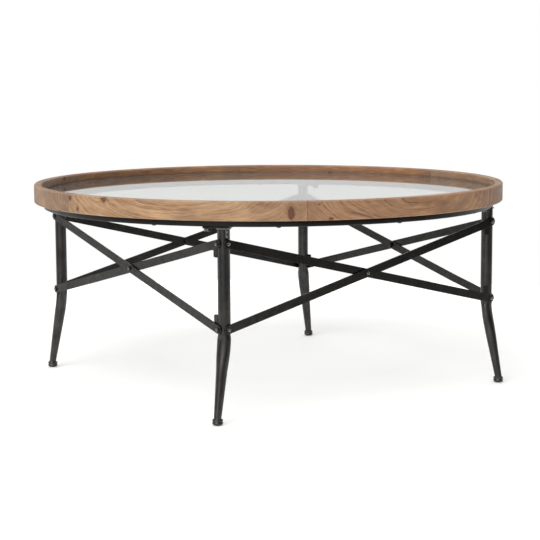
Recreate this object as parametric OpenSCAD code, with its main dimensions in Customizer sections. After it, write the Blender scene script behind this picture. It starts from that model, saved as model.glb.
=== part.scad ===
// Tray top coffee table, +Z up, origin on the floor under the middle of the top.
// A ring of six curved boards stands round a loose sheet of glass and is screwed
// to a rolled steel ring. Four tubular legs carry the ring on welded plates, and
// eight flat bars tie them in four crosses, one on each side of the square.
// Angles run anticlockwise from +X, and the front leg stands at -Y.

/* [Overall] */
// Height of the top edge above the floor
table_h = 450; // [400:1:520]
// Outer diameter of the wooden rim
rim_d = 1060; // [900:5:1200]

/* [Wooden rim] */
// Height of the rim
rim_h = 41; // [38:1:60]
// Thickness of the rim beside the glass
rim_wall = 17; // [12:0.5:24]
// How far the rim stands above the glass
tray_depth = 19; // [10:0.5:21]
// Width of the rim below the glass
base_w = 46; // [42:1:60]
// Number of curved boards in the rim
board_n = 6; // [5:1:8]
// Turn of the first seam from the right leg
seam_turn = -71.3; // [-75:0.1:-66]
// Radius of the rounded edges
rim_round = 2.5; // [0.5:0.5:4]
// Diameter of the dowels in the seams
dowel_d = 8; // [6:1:10]
// Length of the dowels
dowel_len = 30; // [20:1:40]
// Distance of a dowel from the faces of the rim
dowel_edge = 13; // [10:0.5:15]

/* [Glass] */
// Thickness of the glass
glass_t = 6; // [4:0.5:8]
// Gap between the glass and the rim
glass_gap = 1; // [0.5:0.1:2]
// Bevel ground on the edge of the glass
glass_bevel = 0.8; // [0.3:0.1:1.2]

/* [Steel ring] */
// How far the ring lies inside the outer face of the rim
ring_inset = 21; // [19:0.5:24]
// Width of the ring
ring_w = 25; // [22:0.5:32]
// Height of the ring
ring_h = 12; // [10:0.5:20]
// Wall of the ring's tube
ring_wall = 1.5; // [1:0.1:2.5]

/* [Legs] */
// Diameter of the leg tube
tube_d = 25.4; // [22:0.2:28]
// Wall of the leg tube
tube_wall = 1.6; // [1.2:0.1:2]
// Height at which the leg starts to bend out
bend_top = 178; // [170:1:179]
// Height over which it bends
bend_h = 48; // [30:1:70]
// Lean of the leg below the bend
lean = 12.4; // [4:0.1:14]
// Turn of the lean from straight outward
lean_turn = -17; // [-25:1:25]
// Swell across the leg where it bends
swell_out = 3.2; // [0:0.1:5]
// Flattening along the bend
swell_in = 1.6; // [0:0.1:2.5]
// Height over which the swell grows
swell_rise = 12; // [6:1:20]
// Height over which it dies out again
swell_fall = 64; // [40:1:80]
// Height at which the leg starts to taper
taper_top = 138; // [110:1:150]
// Diameter of the leg at the foot
toe_d = 14; // [12:0.5:18]

/* [Feet] */
// Diameter of a foot
foot_d = 21.5; // [20:0.5:40]
// Height of a foot
foot_h = 12; // [9:0.5:20]
// Depth to which the leg stands in the foot
foot_seat = 2; // [1:0.5:5]
// Radius of the bead round the bottom of the foot
foot_edge = 2.3; // [1:0.1:3]
// How far the foot stands back above the bead
foot_step = 0.8; // [0.4:0.1:1.5]
// Radius of its upper edge
foot_shoulder = 2.5; // [1:0.5:3]

/* [Leg plates] */
// Thickness of the plate under the ring
plate_t = 3; // [2:0.5:5]
// Distance from the leg to the plate's bolt
plate_reach = 33; // [31:1:45]
// Plate beyond the middle of its bolt
plate_end = 8; // [7:0.5:12]
// Diameter of the plate's bolt
plate_bolt_d = 8; // [6:1:8]
// Height of its hexagonal head
plate_head_h = 5.5; // [4:0.5:7]
// Radius of the corners of the plate
plate_round = 3; // [1:0.5:6]
// Size of the weld round the top of the leg
weld = 3; // [1:0.5:5]

/* [Braces] */
// Width of a flat bar
bar_w = 17.7; // [16:0.1:20]
// Thickness of a flat bar
bar_t = 3.5; // [2.5:0.1:5]
// Distance from the leg plates down to the upper bolts
brace_drop = 31; // [24:1:44]
// Height of the lower bolts
brace_low = 190.5; // [190:0.5:210]
// Distance from a bolt to the joggle in a set-back bar
joggle_at = 24; // [18:1:60]
// Length of the joggle
joggle_len = 16; // [8:1:30]
// Diameter of the brace bolts
brace_bolt_d = 6; // [5:0.5:6]
// Diameter of the bolt heads
head_d = 10.5; // [9:0.5:12]
// Height of the bolt heads
head_h = 3.8; // [2.5:0.1:5]
// Size of the hexagon socket in a bolt head, across its flats
socket_d = 4; // [3:0.5:5]
// Depth of the socket
socket_depth = 2; // [1:0.1:2.4]
// Wall of the threaded inserts in the legs
insert_wall = 1.5; // [1:0.1:2]
// Bolt left over behind a nut, and thread left free in an insert
bolt_spare = 1; // [0.5:0.5:2]

/* [Tabs behind the braces] */
// Length of a tab
tab_len = 34; // [24:1:44]
// Thickness of a tab
tab_t = 4.5; // [3:0.5:6]
// How far a tab reaches from the middle of the leg
tab_reach = 18.5; // [16:0.5:24]
// Part of a tab beyond its bolt, away from the middle of the leg's height
tab_over = 5.5; // [3:0.5:8]
// Radius of the corners of the tabs
tab_round = 2.5; // [1:0.5:4]

/* [Fits] */
// Clearance of a bolt in its hole, on the diameter
bolt_fit = 0.6; // [0.2:0.1:1]
// Clearance of a thread, a dowel or an insert in its hole, on the diameter
tight_fit = 0.1; // [0:0.05:0.3]
// Clearance round the toe of a leg in its foot
toe_fit = 0.3; // [0.1:0.1:0.6]
// Space at each end of a dowel
dowel_fit = 0.5; // [0.2:0.1:1]
// Space between the glass and the ledge that it lies on
seat_fit = 0.05; // [0.05:0.05:0.3]
// Space between a tab and the insert beside it
tab_fit = 0.5; // [0.3:0.1:1]
// Space between the two inserts that meet in a leg
insert_fit = 0.3; // [0.2:0.1:0.5]
// Space between the lower bars and the stretch where the leg swells
swell_fit = 0.5; // [0.2:0.1:1]

/* [Rim screws] */
// Shank diameter of the screws up into the rim
screw_d = 4.5; // [3.5:0.5:5]
// Head diameter
screw_head_d = 10; // [8:0.5:12]
// Head height
screw_head_h = 3; // [2:0.5:4]
// Depth of the screws in the wood
screw_bite = 11; // [6:1:12]
// Angle from a seam to its first screw
screw_turn = 24; // [16:1:24]
// Angle between the two screws of a board
screw_step = 30; // [14:1:30]

/* [Nuts and washers] */
// Height of the nuts at the crossings
nut_h = 5; // [4:0.5:8]
// Thickness of the washers under the leg plates
washer_t = 1.6; // [1:0.1:2.5]
// Diameter of these washers
washer_d = 16; // [14:0.5:20]
// Bolt beyond the ring's lower wall
bolt_over = 3; // [1:0.5:6]

/* [Hidden] */
SIDES = ["front", "right", "back", "left"];

WOOD = "#b08a66";
BLACK = "#2b2b2c";
ZINC = "#6f7072";
GLASS = "#dfe6e3";
$fn = 96;
LOOP = 160;
// Overlap of joined solids, and how far cutters run past a face
EPS = 0.01;
CUT = 1;

// Levels, from the top edge down
rim_r = rim_d / 2;
rim_z = table_h - rim_h;
glass_z = table_h - tray_depth - glass_t;
base_h = glass_z - seat_fit - rim_z;
ring_z = rim_z - ring_h;
plate_z = ring_z - plate_t;
// Radii of the ring, on whose middle line the legs stand
ring_r = rim_r - ring_inset;
leg_r = ring_r - ring_w / 2;
pocket_r = rim_r - rim_wall;
board_angle = 360 / board_n;
// The square of the legs: half its side, and where the bars lie outside it
half_side = leg_r / sqrt(2);
face_r = half_side + tube_d / 2;
brace_top = plate_z - brace_drop;
brace_rise = brace_top - brace_low;
brace_tilt = atan(brace_rise / (2 * half_side));
brace_len = 2 * half_side / cos(brace_tilt);
brace_mid = (brace_top + brace_low) / 2;
hole_d = brace_bolt_d + bolt_fit;
// Threaded inserts in the leg tubes
insert_d = brace_bolt_d + 2 * insert_wall;
insert_in = insert_d / 2 + insert_fit;
insert_len = tube_d / 2 - insert_in;
// The lower leg is a loft of level ovals down to the foot
loft_top = brace_low - bar_w / 2 - swell_fit;
swell_full = loft_top - swell_rise;
swell_end = swell_full - swell_fall;
loft_bottom = foot_h - foot_seat;
LOFT_N = 26;
LOFT_SIDES = 28;
loft_step = (loft_top - loft_bottom) / (LOFT_N - 1);
// Its corners lie this much farther out, so that its flats lie on the round form
FACET = 1 / cos(180 / LOFT_SIDES);

function smooth(u) = let (v = max(0, min(1, u))) v * v * (3 - 2 * v);
function bend_u(z) = max(0, min(1, (bend_top - z) / bend_h));
// How far the middle line has moved outward at height z: a parabola, then a line
function drift(z) =
    tan(lean) * (bend_h * pow(bend_u(z), 2) / 2 + max(0, bend_top - bend_h - z));
function base_dia(z) =
    min(tube_d, toe_d + (tube_d - toe_d) * (z - loft_bottom) / (taper_top - loft_bottom));
function swell(z) = z > swell_full
    ? smooth((loft_top - z) / (loft_top - swell_full))
    : z > swell_end ? cos(90 * (swell_full - z) / (swell_full - swell_end)) : 0;
function across(z) = (base_dia(z) + swell_out * swell(z)) * FACET / 2;
function along(z) = (base_dia(z) - swell_in * swell(z)) * FACET / 2;
toe_x = drift(loft_bottom) * cos(lean_turn);
toe_y = drift(loft_bottom) * sin(lean_turn);
toe_slack = toe_fit + foot_seat * tan(lean);
// Across the corners of the hexagon that goes with a thread
function hex_d(d) = (1.5 * d + 1) / cos(30);

// A solid through level rings of points, from the top ring down
module loft(rings) {
    n = len(rings[0]);
    m = len(rings);
    polyhedron(
        points = [for (r = rings) for (p = r) p],
        faces = concat(
            [[for (i = [0 : n - 1]) n - 1 - i]],
            [[for (i = [0 : n - 1]) (m - 1) * n + i]],
            [for (k = [0 : m - 2]) for (i = [0 : n - 1])
                [k * n + i, k * n + (i + 1) % n, (k + 1) * n + i]],
            [for (k = [0 : m - 2]) for (i = [0 : n - 1])
                [k * n + (i + 1) % n, (k + 1) * n + (i + 1) % n, (k + 1) * n + i]]));
}

// Quarter circle of points round (x, y), from angle a
function arc(x, y, r, a) = [for (i = [0 : 6]) [x + r * cos(a + 15 * i), y + r * sin(a + 15 * i)]];

// Flat strip of width w with round ends, centred, with l between the ends' centres
module pill(l, w) {
    square([l, w], center = true);
    for (x = [-l / 2, l / 2]) translate([x, 0]) circle(d = w);
}

// Rectangle with rounded corners, from (0, 0) to (w, h)
module plaque(w, h, r) {
    translate([r, 0]) square([w - 2 * r, h]);
    translate([0, r]) square([w, h - 2 * r]);
    for (x = [r, w - r], y = [r, h - r]) translate([x, y]) circle(r = r);
}

module at_leg(side) {
    rotate([0, 0, -90 + 90 * search([side], SIDES)[0]]) translate([leg_r, 0, 0]) children();
}

// Face k of the square: +X looks out of the face, +Y runs anticlockwise along it
module at_face(k) {
    rotate([0, 0, -45 + 90 * k]) children();
}

// Bolt axis out of a face, at height z and place y along the face
module at_bolt(y, z) {
    translate([face_r, y, z]) rotate([0, 90, 0]) children();
}

// Domed head on a shank: the head stands on z = 0 and the shank goes down
module dome_bolt(shank_d, shank_len, cap_d, cap_h) {
    r = (cap_h * cap_h + cap_d * cap_d / 4) / (2 * cap_h);
    rotate_extrude() intersection() {
        translate([0, cap_h - r]) circle(r = r);
        square([cap_d, cap_h]);
    }
    translate([0, 0, -shank_len]) cylinder(d = shank_d, h = shank_len + EPS);
}

// The same bolt with a hexagon socket in its head
module socket_bolt(shank_len) {
    difference() {
        dome_bolt(brace_bolt_d, shank_len, head_d, head_h);
        translate([0, 0, head_h - socket_depth])
            cylinder(d = socket_d / cos(30), h = socket_depth + CUT, $fn = 6);
    }
}

// Section of the rim: a wall beside the glass and a wider base that carries it
module rim_section() {
    r = rim_round;
    polygon(concat(
        arc(rim_r - r, r, r, -90),
        arc(rim_r - r, rim_h - r, r, 0),
        arc(pocket_r + r, rim_h - r, r, 90),
        [[pocket_r, base_h], [rim_r - base_w, base_h], [rim_r - base_w, 0]]));
}

module rim_board(i) {
    a = seam_turn + (i - 1) * board_angle;
    color(WOOD) difference() {
        translate([0, 0, rim_z]) rotate([0, 0, a])
            rotate_extrude(angle = board_angle, $fn = LOOP) rim_section();
        for (end = [i, i + 1])
            at_dowels(end) dowel(dowel_d + tight_fit, dowel_len + 2 * dowel_fit);
        at_screws(i) translate([0, 0, -screw_bite - EPS])
            cylinder(d = screw_d + tight_fit, h = screw_bite + EPS);
    }
}

// Two dowels cross each seam in the base of the rim
module at_dowels(i) {
    for (r = [rim_r - dowel_edge, rim_r - base_w + dowel_edge])
        rotate([0, 0, seam_turn + (i - 1) * board_angle])
            translate([r, 0, rim_z + base_h / 2]) children();
}

module dowel(d, l) {
    rotate([90, 0, 0]) cylinder(d = d, h = l, center = true);
}

// Screw places of board i, at the depth that the screws reach in the wood
module at_screws(i) {
    for (s = [0, 1]) rotate([0, 0, seam_turn + (i - 1) * board_angle + screw_turn + s * screw_step])
        translate([leg_r, 0, rim_z + screw_bite]) children();
}

module rim_dowels() {
    color(WOOD) for (i = [1 : board_n]) at_dowels(i) dowel(dowel_d, dowel_len);
}

module rim_screws() {
    reach = screw_bite + ring_h;
    color(ZINC) for (i = [1 : board_n]) at_screws(i) translate([0, 0, -reach])
        rotate([180, 0, 0]) dome_bolt(screw_d, reach, screw_head_d, screw_head_h);
}

module glass_top() {
    r = pocket_r - glass_gap;
    b = glass_bevel;
    color(GLASS, 0.5) translate([0, 0, glass_z]) rotate_extrude($fn = LOOP)
        polygon([[0, 0], [r - b, 0], [r, b], [r, glass_t - b], [r - b, glass_t], [0, glass_t]]);
}

module ring_frame() {
    color(BLACK) difference() {
        translate([0, 0, ring_z]) rotate_extrude($fn = LOOP) difference() {
            translate([ring_r - ring_w, 0]) square([ring_w, ring_h]);
            translate([ring_r - ring_w + ring_wall, ring_wall])
                square([ring_w - 2 * ring_wall, ring_h - 2 * ring_wall]);
        }
        for (i = [1 : board_n]) at_screws(i) translate([0, 0, -screw_bite - ring_h - CUT])
            cylinder(d = screw_d + bolt_fit, h = ring_h + 2 * CUT);
        for (s = SIDES) at_leg(s) translate([0, -plate_reach, ring_z - CUT])
            cylinder(d = plate_bolt_d + tight_fit, h = ring_wall + 2 * CUT);
    }
}

module leg_tube() {
    difference() {
        translate([0, 0, loft_top]) cylinder(d = tube_d, h = plate_z - loft_top);
        translate([0, 0, loft_top + tube_wall])
            cylinder(d = tube_d - 2 * tube_wall, h = plate_z - loft_top);
        for (a = [-45, 45], z = [brace_low, brace_top]) translate([0, 0, z]) rotate([0, 90, a])
            cylinder(d = insert_d + tight_fit, h = tube_d);
    }
}

// Level ovals that follow the bend, swell at it and taper to the toe
module leg_toe() {
    loft([for (k = [0 : LOFT_N - 1]) let (z = loft_top - k * loft_step)
        [for (i = [0 : LOFT_SIDES - 1]) let (
            a = 360 * i / LOFT_SIDES,
            u = drift(z) + along(z) * cos(a),
            v = across(z) * sin(a))
            [u * cos(lean_turn) - v * sin(lean_turn), u * sin(lean_turn) + v * cos(lean_turn), z]]]);
}

module leg(side) {
    color(BLACK) at_leg(side) {
        leg_tube();
        leg_toe();
    }
}

// The plate reaches clockwise along the ring, with a weld round the top of the tube
module leg_plate(side) {
    color(BLACK) at_leg(side) {
        translate([0, 0, plate_z]) difference() {
            linear_extrude(plate_t) translate([-tube_d / 2, -plate_reach - plate_end])
                plaque(tube_d, plate_reach + plate_end + tube_d / 2, plate_round);
            translate([0, -plate_reach, -CUT])
                cylinder(d = plate_bolt_d + bolt_fit, h = plate_t + 2 * CUT);
        }
        translate([0, 0, plate_z - weld]) rotate_extrude()
            polygon([[tube_d / 2, 0], [tube_d / 2 + weld, weld + EPS], [tube_d / 2, weld + EPS]]);
    }
}

// Upright tabs welded beside the tube, flush with the inner side of the bars
module tabs(side) {
    color(BLACK) at_leg(side) difference() {
        for (lift = [[brace_top, -1], [brace_low, 1]]) tab(lift[0], lift[1]);
        translate([0, 0, brace_low - tab_len]) cylinder(d = tube_d, h = brace_rise + 2 * tab_len);
    }
}

// It starts beside the insert, and dir tells which way its long end points
module tab(z, dir) {
    tab_w = tab_reach - insert_d / 2 - tab_fit;
    rotate([0, 0, -45]) translate([tube_d / 2 - tab_t, -tab_reach, z])
        rotate([0, 90, 0]) linear_extrude(tab_t)
            translate([dir > 0 ? tab_over - tab_len : -tab_over, 0])
                plaque(tab_len, tab_w, tab_round);
}

module foot(side) {
    top_r = foot_d / 2 - foot_step;
    color(BLACK) at_leg(side) translate([toe_x, toe_y, 0]) difference() {
        rotate_extrude() polygon(concat(
            [[0, 0]],
            arc(foot_d / 2 - foot_edge, foot_edge, foot_edge, -90),
            arc(foot_d / 2 - foot_edge, foot_edge, foot_edge, 0),
            [[top_r, 2 * foot_edge]],
            arc(top_r - foot_shoulder, foot_h - foot_shoulder, foot_shoulder, 0),
            [[0, foot_h]]));
        translate([0, 0, loft_bottom])
            cylinder(d = toe_d * FACET + 2 * toe_slack, h = foot_seat + CUT);
    }
}

// Outline of a bar with round ends, cut with its three holes
module bar_outline() {
    difference() {
        pill(brace_len, bar_w);
        for (s = [-1, 0, 1]) translate([s * brace_len / 2, 0]) circle(d = hole_d);
    }
}

// Straight bar outside the square, tilted by dir
module outer_bar(k, dir) {
    color(BLACK) at_face(k) translate([face_r, 0, brace_mid]) rotate([dir * brace_tilt, 0, 0])
        rotate([90, 0, 90]) linear_extrude(bar_t) bar_outline();
}

// Bar set back by its own thickness between two joggles, to pass behind the other
module inner_bar(k, dir) {
    e = brace_len / 2 + bar_w;
    a = brace_len / 2 - joggle_at;
    b = a - joggle_len;
    color(BLACK) at_face(k) translate([face_r, 0, brace_mid]) rotate([dir * brace_tilt, 0, 0])
        intersection() {
            translate([0, 0, -bar_w]) linear_extrude(2 * bar_w) polygon([
                [0, -e], [bar_t, -e], [bar_t, -a], [0, -b], [0, b], [bar_t, a], [bar_t, e],
                [0, e], [0, a], [-bar_t, b], [-bar_t, -b], [0, -a]]);
            translate([-2 * bar_t, 0, 0]) rotate([90, 0, 90])
                linear_extrude(4 * bar_t) bar_outline();
        }
}

module brace_bolts() {
    shank = bar_t + insert_len - bolt_spare;
    color(ZINC) for (k = [0 : 3]) at_face(k)
        for (y = [-half_side, half_side], z = [brace_low, brace_top])
            at_bolt(y, z) translate([0, 0, bar_t]) socket_bolt(shank);
}

module brace_inserts() {
    color(ZINC) for (k = [0 : 3]) at_face(k)
        for (y = [-half_side, half_side], z = [brace_low, brace_top])
            at_bolt(y, z) translate([0, 0, -insert_len]) difference() {
                cylinder(d = insert_d, h = insert_len);
                translate([0, 0, -CUT])
                    cylinder(d = brace_bolt_d + tight_fit, h = insert_len + 2 * CUT);
            }
}

module cross_bolts() {
    color(ZINC) for (k = [0 : 3]) at_face(k) at_bolt(0, brace_mid) translate([0, 0, bar_t])
        socket_bolt(2 * bar_t + nut_h + bolt_spare);
}

module cross_nuts() {
    color(ZINC) for (k = [0 : 3]) at_face(k) at_bolt(0, brace_mid)
        translate([0, 0, -bar_t - nut_h]) difference() {
            cylinder(d = hex_d(brace_bolt_d), h = nut_h, $fn = 6);
            translate([0, 0, -CUT]) cylinder(d = brace_bolt_d + tight_fit, h = nut_h + 2 * CUT);
        }
}

module plate_washers() {
    color(ZINC) for (s = SIDES) at_leg(s) translate([0, -plate_reach, plate_z - washer_t])
        difference() {
            cylinder(d = washer_d, h = washer_t);
            translate([0, 0, -CUT]) cylinder(d = plate_bolt_d + bolt_fit, h = washer_t + 2 * CUT);
        }
}

module plate_bolts() {
    reach = washer_t + plate_t + ring_wall + bolt_over;
    color(ZINC) for (s = SIDES) at_leg(s) translate([0, -plate_reach, plate_z - washer_t]) {
        translate([0, 0, -plate_head_h])
            cylinder(d = hex_d(plate_bolt_d), h = plate_head_h, $fn = 6);
        translate([0, 0, -EPS]) cylinder(d = plate_bolt_d, h = reach + EPS);
    }
}

for (i = [1 : board_n]) rim_board(i);
rim_dowels();
rim_screws();
glass_top();
ring_frame();
for (s = SIDES) {
    leg(s);
    leg_plate(s);
    tabs(s);
    foot(s);
}
outer_bar(3, -1);  // brace_front_left_outer
inner_bar(3, 1);  // brace_front_left_inner
outer_bar(0, 1);  // brace_front_right_outer
inner_bar(0, -1);  // brace_front_right_inner
outer_bar(1, -1);  // brace_back_right_outer
inner_bar(1, 1);  // brace_back_right_inner
outer_bar(2, -1);  // brace_back_left_outer
inner_bar(2, 1);  // brace_back_left_inner
brace_bolts();
brace_inserts();
cross_bolts();
cross_nuts();
plate_bolts();
plate_washers();
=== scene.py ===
from math import cos, hypot, pi, radians, sin, sqrt

import bmesh
import bpy
from mathutils import Matrix, Vector


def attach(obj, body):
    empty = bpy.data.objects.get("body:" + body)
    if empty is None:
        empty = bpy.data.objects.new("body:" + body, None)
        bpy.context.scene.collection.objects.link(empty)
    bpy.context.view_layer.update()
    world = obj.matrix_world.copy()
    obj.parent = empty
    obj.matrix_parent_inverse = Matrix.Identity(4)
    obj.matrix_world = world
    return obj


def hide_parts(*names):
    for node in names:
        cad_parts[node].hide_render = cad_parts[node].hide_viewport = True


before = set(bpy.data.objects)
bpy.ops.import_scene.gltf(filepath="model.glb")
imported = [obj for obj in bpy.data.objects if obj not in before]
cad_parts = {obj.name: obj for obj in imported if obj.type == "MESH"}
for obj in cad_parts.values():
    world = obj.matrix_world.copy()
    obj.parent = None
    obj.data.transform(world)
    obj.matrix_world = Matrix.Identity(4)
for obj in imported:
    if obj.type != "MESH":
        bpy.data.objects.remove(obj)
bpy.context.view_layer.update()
scene = bpy.context.scene

# The camera stands 3.6 m away, a little above the top, in front of the front leg and to its
# right, with a long lens, so that the round top shows as a thin ellipse.
camera = bpy.data.objects.new("camera", bpy.data.cameras.new("camera"))
scene.collection.objects.link(camera)
camera.data.sensor_width = 36
camera.data.lens = 106.23
camera.matrix_world = (
    Matrix.Translation((0.6547, -3.5743, 0.73153))
    @ Matrix.Rotation(radians(10.3365), 4, "Z")
    @ Matrix.Rotation(radians(82.352), 4, "X")
    @ Matrix.Rotation(radians(-0.294), 4, "Z")
)
scene.camera = camera

# The rim is six arcs of reclaimed pine, each sawn from a straight plank, so that the grain runs
# level at the middle of a board and turns steeply through it at its ends. The boards are butt
# jointed on dowels and have a ledge for the glass; their edges are rounded and worn.
MM = 0.001
# Radii and heights in metres, angles in degrees
RIM_R, POCKET_R, LEDGE_R = 0.530, 0.513, 0.484
RIM_Z, LEDGE_Z, RIM_TOP = 0.4103, 0.42495, 0.450
SEAM_TURN = -71.3
BOARD_ANGLE = 60
SEAM_GAP = 0.02


def outline(corners, step):
    """Points of a closed outline, (x, y, roundness), with its right-angled corners rounded."""
    runs = []
    for i, (x, y, r) in enumerate(corners):
        here = Vector((x, y))
        back = (Vector(corners[i - 1][:2]) - here).normalized()
        on = (Vector(corners[(i + 1) % len(corners)][:2]) - here).normalized()
        middle = here + (back + on) * r
        turns = [k * pi / 12 for k in range(7)] if r else [0]
        runs.append([(*(middle - on * r * cos(t) - back * r * sin(t)), sin(2 * t)) for t in turns])
    points = []
    for run, following in zip(runs, runs[1:] + runs[:1]):
        points += run
        start, end = Vector(run[-1][:2]), Vector(following[0][:2])
        parts = max(1, round((end - start).length / step))
        points += [(*start.lerp(end, k / parts), 0.0) for k in range(1, parts)]
    return points


def add(tree, kind, links=(), out=0, **settings):
    """Adds a node with its settings, sets or links its inputs, and gives one output or all.

    The inputs come in order, or by name or number in a dict; out names or numbers the output.
    """
    node = tree.nodes.new(kind)
    for name, value in settings.items():
        setattr(node, name, value)
    for name, value in links.items() if isinstance(links, dict) else enumerate(links):
        if isinstance(value, bpy.types.NodeSocket):
            tree.links.new(value, node.inputs[name])
        else:
            node.inputs[name].default_value = value
    return node.outputs[out] if node.outputs and out is not None else node.outputs


def new_tree(name, inputs):
    """An empty Geometry Nodes tree with named inputs: {name: (kind, default)}."""
    tree = bpy.data.node_groups.new(name, "GeometryNodeTree")
    tree.is_modifier = True
    tree.interface.new_socket("Geometry", in_out="OUTPUT", socket_type="NodeSocketGeometry")
    tree.interface.new_socket("Geometry", in_out="INPUT", socket_type="NodeSocketGeometry")
    for label, (kind, value) in inputs.items():
        socket = tree.interface.new_socket(label, in_out="INPUT", socket_type="NodeSocket" + kind)
        if value is not None:
            socket.default_value = value
    return tree


def sweep_tree(name, closed):
    """Sweeps a section along an arc or a full circle and wears its surface down a little."""
    tree = new_tree(name, {
        "Radius": ("Float", 0.5), "First angle": ("Float", 0.0), "Sweep": ("Float", 1.0),
        "Steps": ("Int", 100), "Wear": ("Float", 0.0), "Edge wear": ("Float", 0.0),
        "Patch size": ("Float", 0.02), "Seed": ("Float", 0.0), "Material": ("Material", None)})
    given = add(tree, "NodeGroupInput", out=None)
    section = add(tree, "GeometryNodeMeshToCurve", {"Mesh": given["Geometry"]})
    if closed:
        path = add(tree, "GeometryNodeCurvePrimitiveCircle", {
            "Resolution": given["Steps"], "Radius": given["Radius"]})
    else:
        path = add(tree, "GeometryNodeCurveArc", {
            "Resolution": given["Steps"], "Radius": given["Radius"],
            "Start Angle": given["First angle"], "Sweep Angle": given["Sweep"]})
    body = add(tree, "GeometryNodeCurveToMesh", {
        "Curve": path, "Profile Curve": section, "Fill Caps": True})
    scale = add(tree, "ShaderNodeMath", [1.0, given["Patch size"]], operation="DIVIDE")
    patches = add(tree, "ShaderNodeTexNoise", {
        "Vector": add(tree, "GeometryNodeInputPosition"), "W": given["Seed"],
        "Scale": scale, "Detail": 3.0}, noise_dimensions="4D")
    edge = add(tree, "GeometryNodeInputNamedAttribute", {"Name": "edge"})
    worn = add(tree, "ShaderNodeMath", [edge, given["Edge wear"], given["Wear"]],
               operation="MULTIPLY_ADD")
    depth = add(tree, "ShaderNodeMath", [worn, patches], operation="MULTIPLY")
    inward = add(tree, "ShaderNodeMath", [depth, -1.0], operation="MULTIPLY")
    normal = add(tree, "GeometryNodeInputNormal")
    offset = add(tree, "ShaderNodeVectorMath", {0: normal, "Scale": inward}, operation="SCALE")
    worn_body = add(tree, "GeometryNodeSetPosition", {"Geometry": body, "Offset": offset})
    real = add(tree, "GeometryNodeRealizeInstances", {"Geometry": worn_body})
    done = add(tree, "GeometryNodeSetMaterial", {"Geometry": real, "Material": given["Material"]})
    add(tree, "NodeGroupOutput", {"Geometry": done})
    return tree


def grown(name, mesh, tree, **inputs):
    """Runs a tree on a mesh, with its inputs named with _ for a space, and keeps the result."""
    obj = bpy.data.objects.new(name, mesh)
    scene.collection.objects.link(obj)
    shape = obj.modifiers.new("shape", "NODES")
    shape.node_group = tree
    for item in tree.interface.items_tree:
        key = item.name.replace(" ", "_").lower()
        if item.in_out == "INPUT" and key in inputs:
            shape[item.identifier] = inputs[key]
    depsgraph = bpy.context.evaluated_depsgraph_get()
    made = bpy.data.meshes.new_from_object(
        obj.evaluated_get(depsgraph), preserve_all_data_layers=True, depsgraph=depsgraph)
    obj.modifiers.remove(shape)
    obj.data = made
    return obj


def section_mesh(points, radius):
    """Closed loop of a section for a sweep: (radius, height, roundness) to (out, down)."""
    mesh = bpy.data.meshes.new("section")
    n = len(points)
    mesh.from_pydata([(x - radius, -y, 0) for x, y, _ in reversed(points)],
                     [(i, (i + 1) % n) for i in range(n)], [])
    edge = mesh.attributes.new("edge", "FLOAT", "POINT")
    edge.data.foreach_set("value", [e for *_, e in reversed(points)])
    return mesh


def close_up(obj, sharp=40, bevel_caps=0):
    """Merges doubles, bevels the caps if asked, turns all faces outward and smooths the mesh."""
    mesh = bmesh.new()
    mesh.from_mesh(obj.data)
    bmesh.ops.remove_doubles(mesh, verts=mesh.verts, dist=2e-6)
    if bevel_caps:
        rims = [e for e in mesh.edges
                if sorted(len(f.verts) > 8 for f in e.link_faces) == [False, True]]
        bmesh.ops.bevel(mesh, geom=rims, offset=bevel_caps, segments=2, profile=0.5,
                        affect="EDGES", clamp_overlap=True)
    bmesh.ops.recalc_face_normals(mesh, faces=mesh.faces)
    mesh.to_mesh(obj.data)
    mesh.free()
    obj.data.shade_smooth()
    obj.data.set_sharp_from_angle(angle=radians(sharp))
    return obj


def linear(code):
    """Linear colour of an sRGB hex value."""
    parts = [int(code[i:i + 2], 16) / 255 for i in (1, 3, 5)]
    return (*[c / 12.92 if c <= 0.04045 else ((c + 0.055) / 1.055) ** 2.4 for c in parts], 1)


def new_material(name):
    """An empty node material, its tree, and the object's own coordinates."""
    material = bpy.data.materials.new(name)
    material.use_nodes = True
    material.node_tree.nodes.clear()
    place = add(material.node_tree, "ShaderNodeTexCoord", out="Object")
    return material, material.node_tree, place


def patchy_noise(tree, at, size, detail, rough=0.55, out=0):
    """Noise over a place in mm, in patches of the size given along X, Y and Z."""
    at = add(tree, "ShaderNodeVectorMath", [at, tuple(1 / s for s in size)], operation="MULTIPLY")
    return add(tree, "ShaderNodeTexNoise", {
        "Vector": at, "Scale": 1.0, "Detail": detail, "Roughness": rough}, out)


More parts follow.
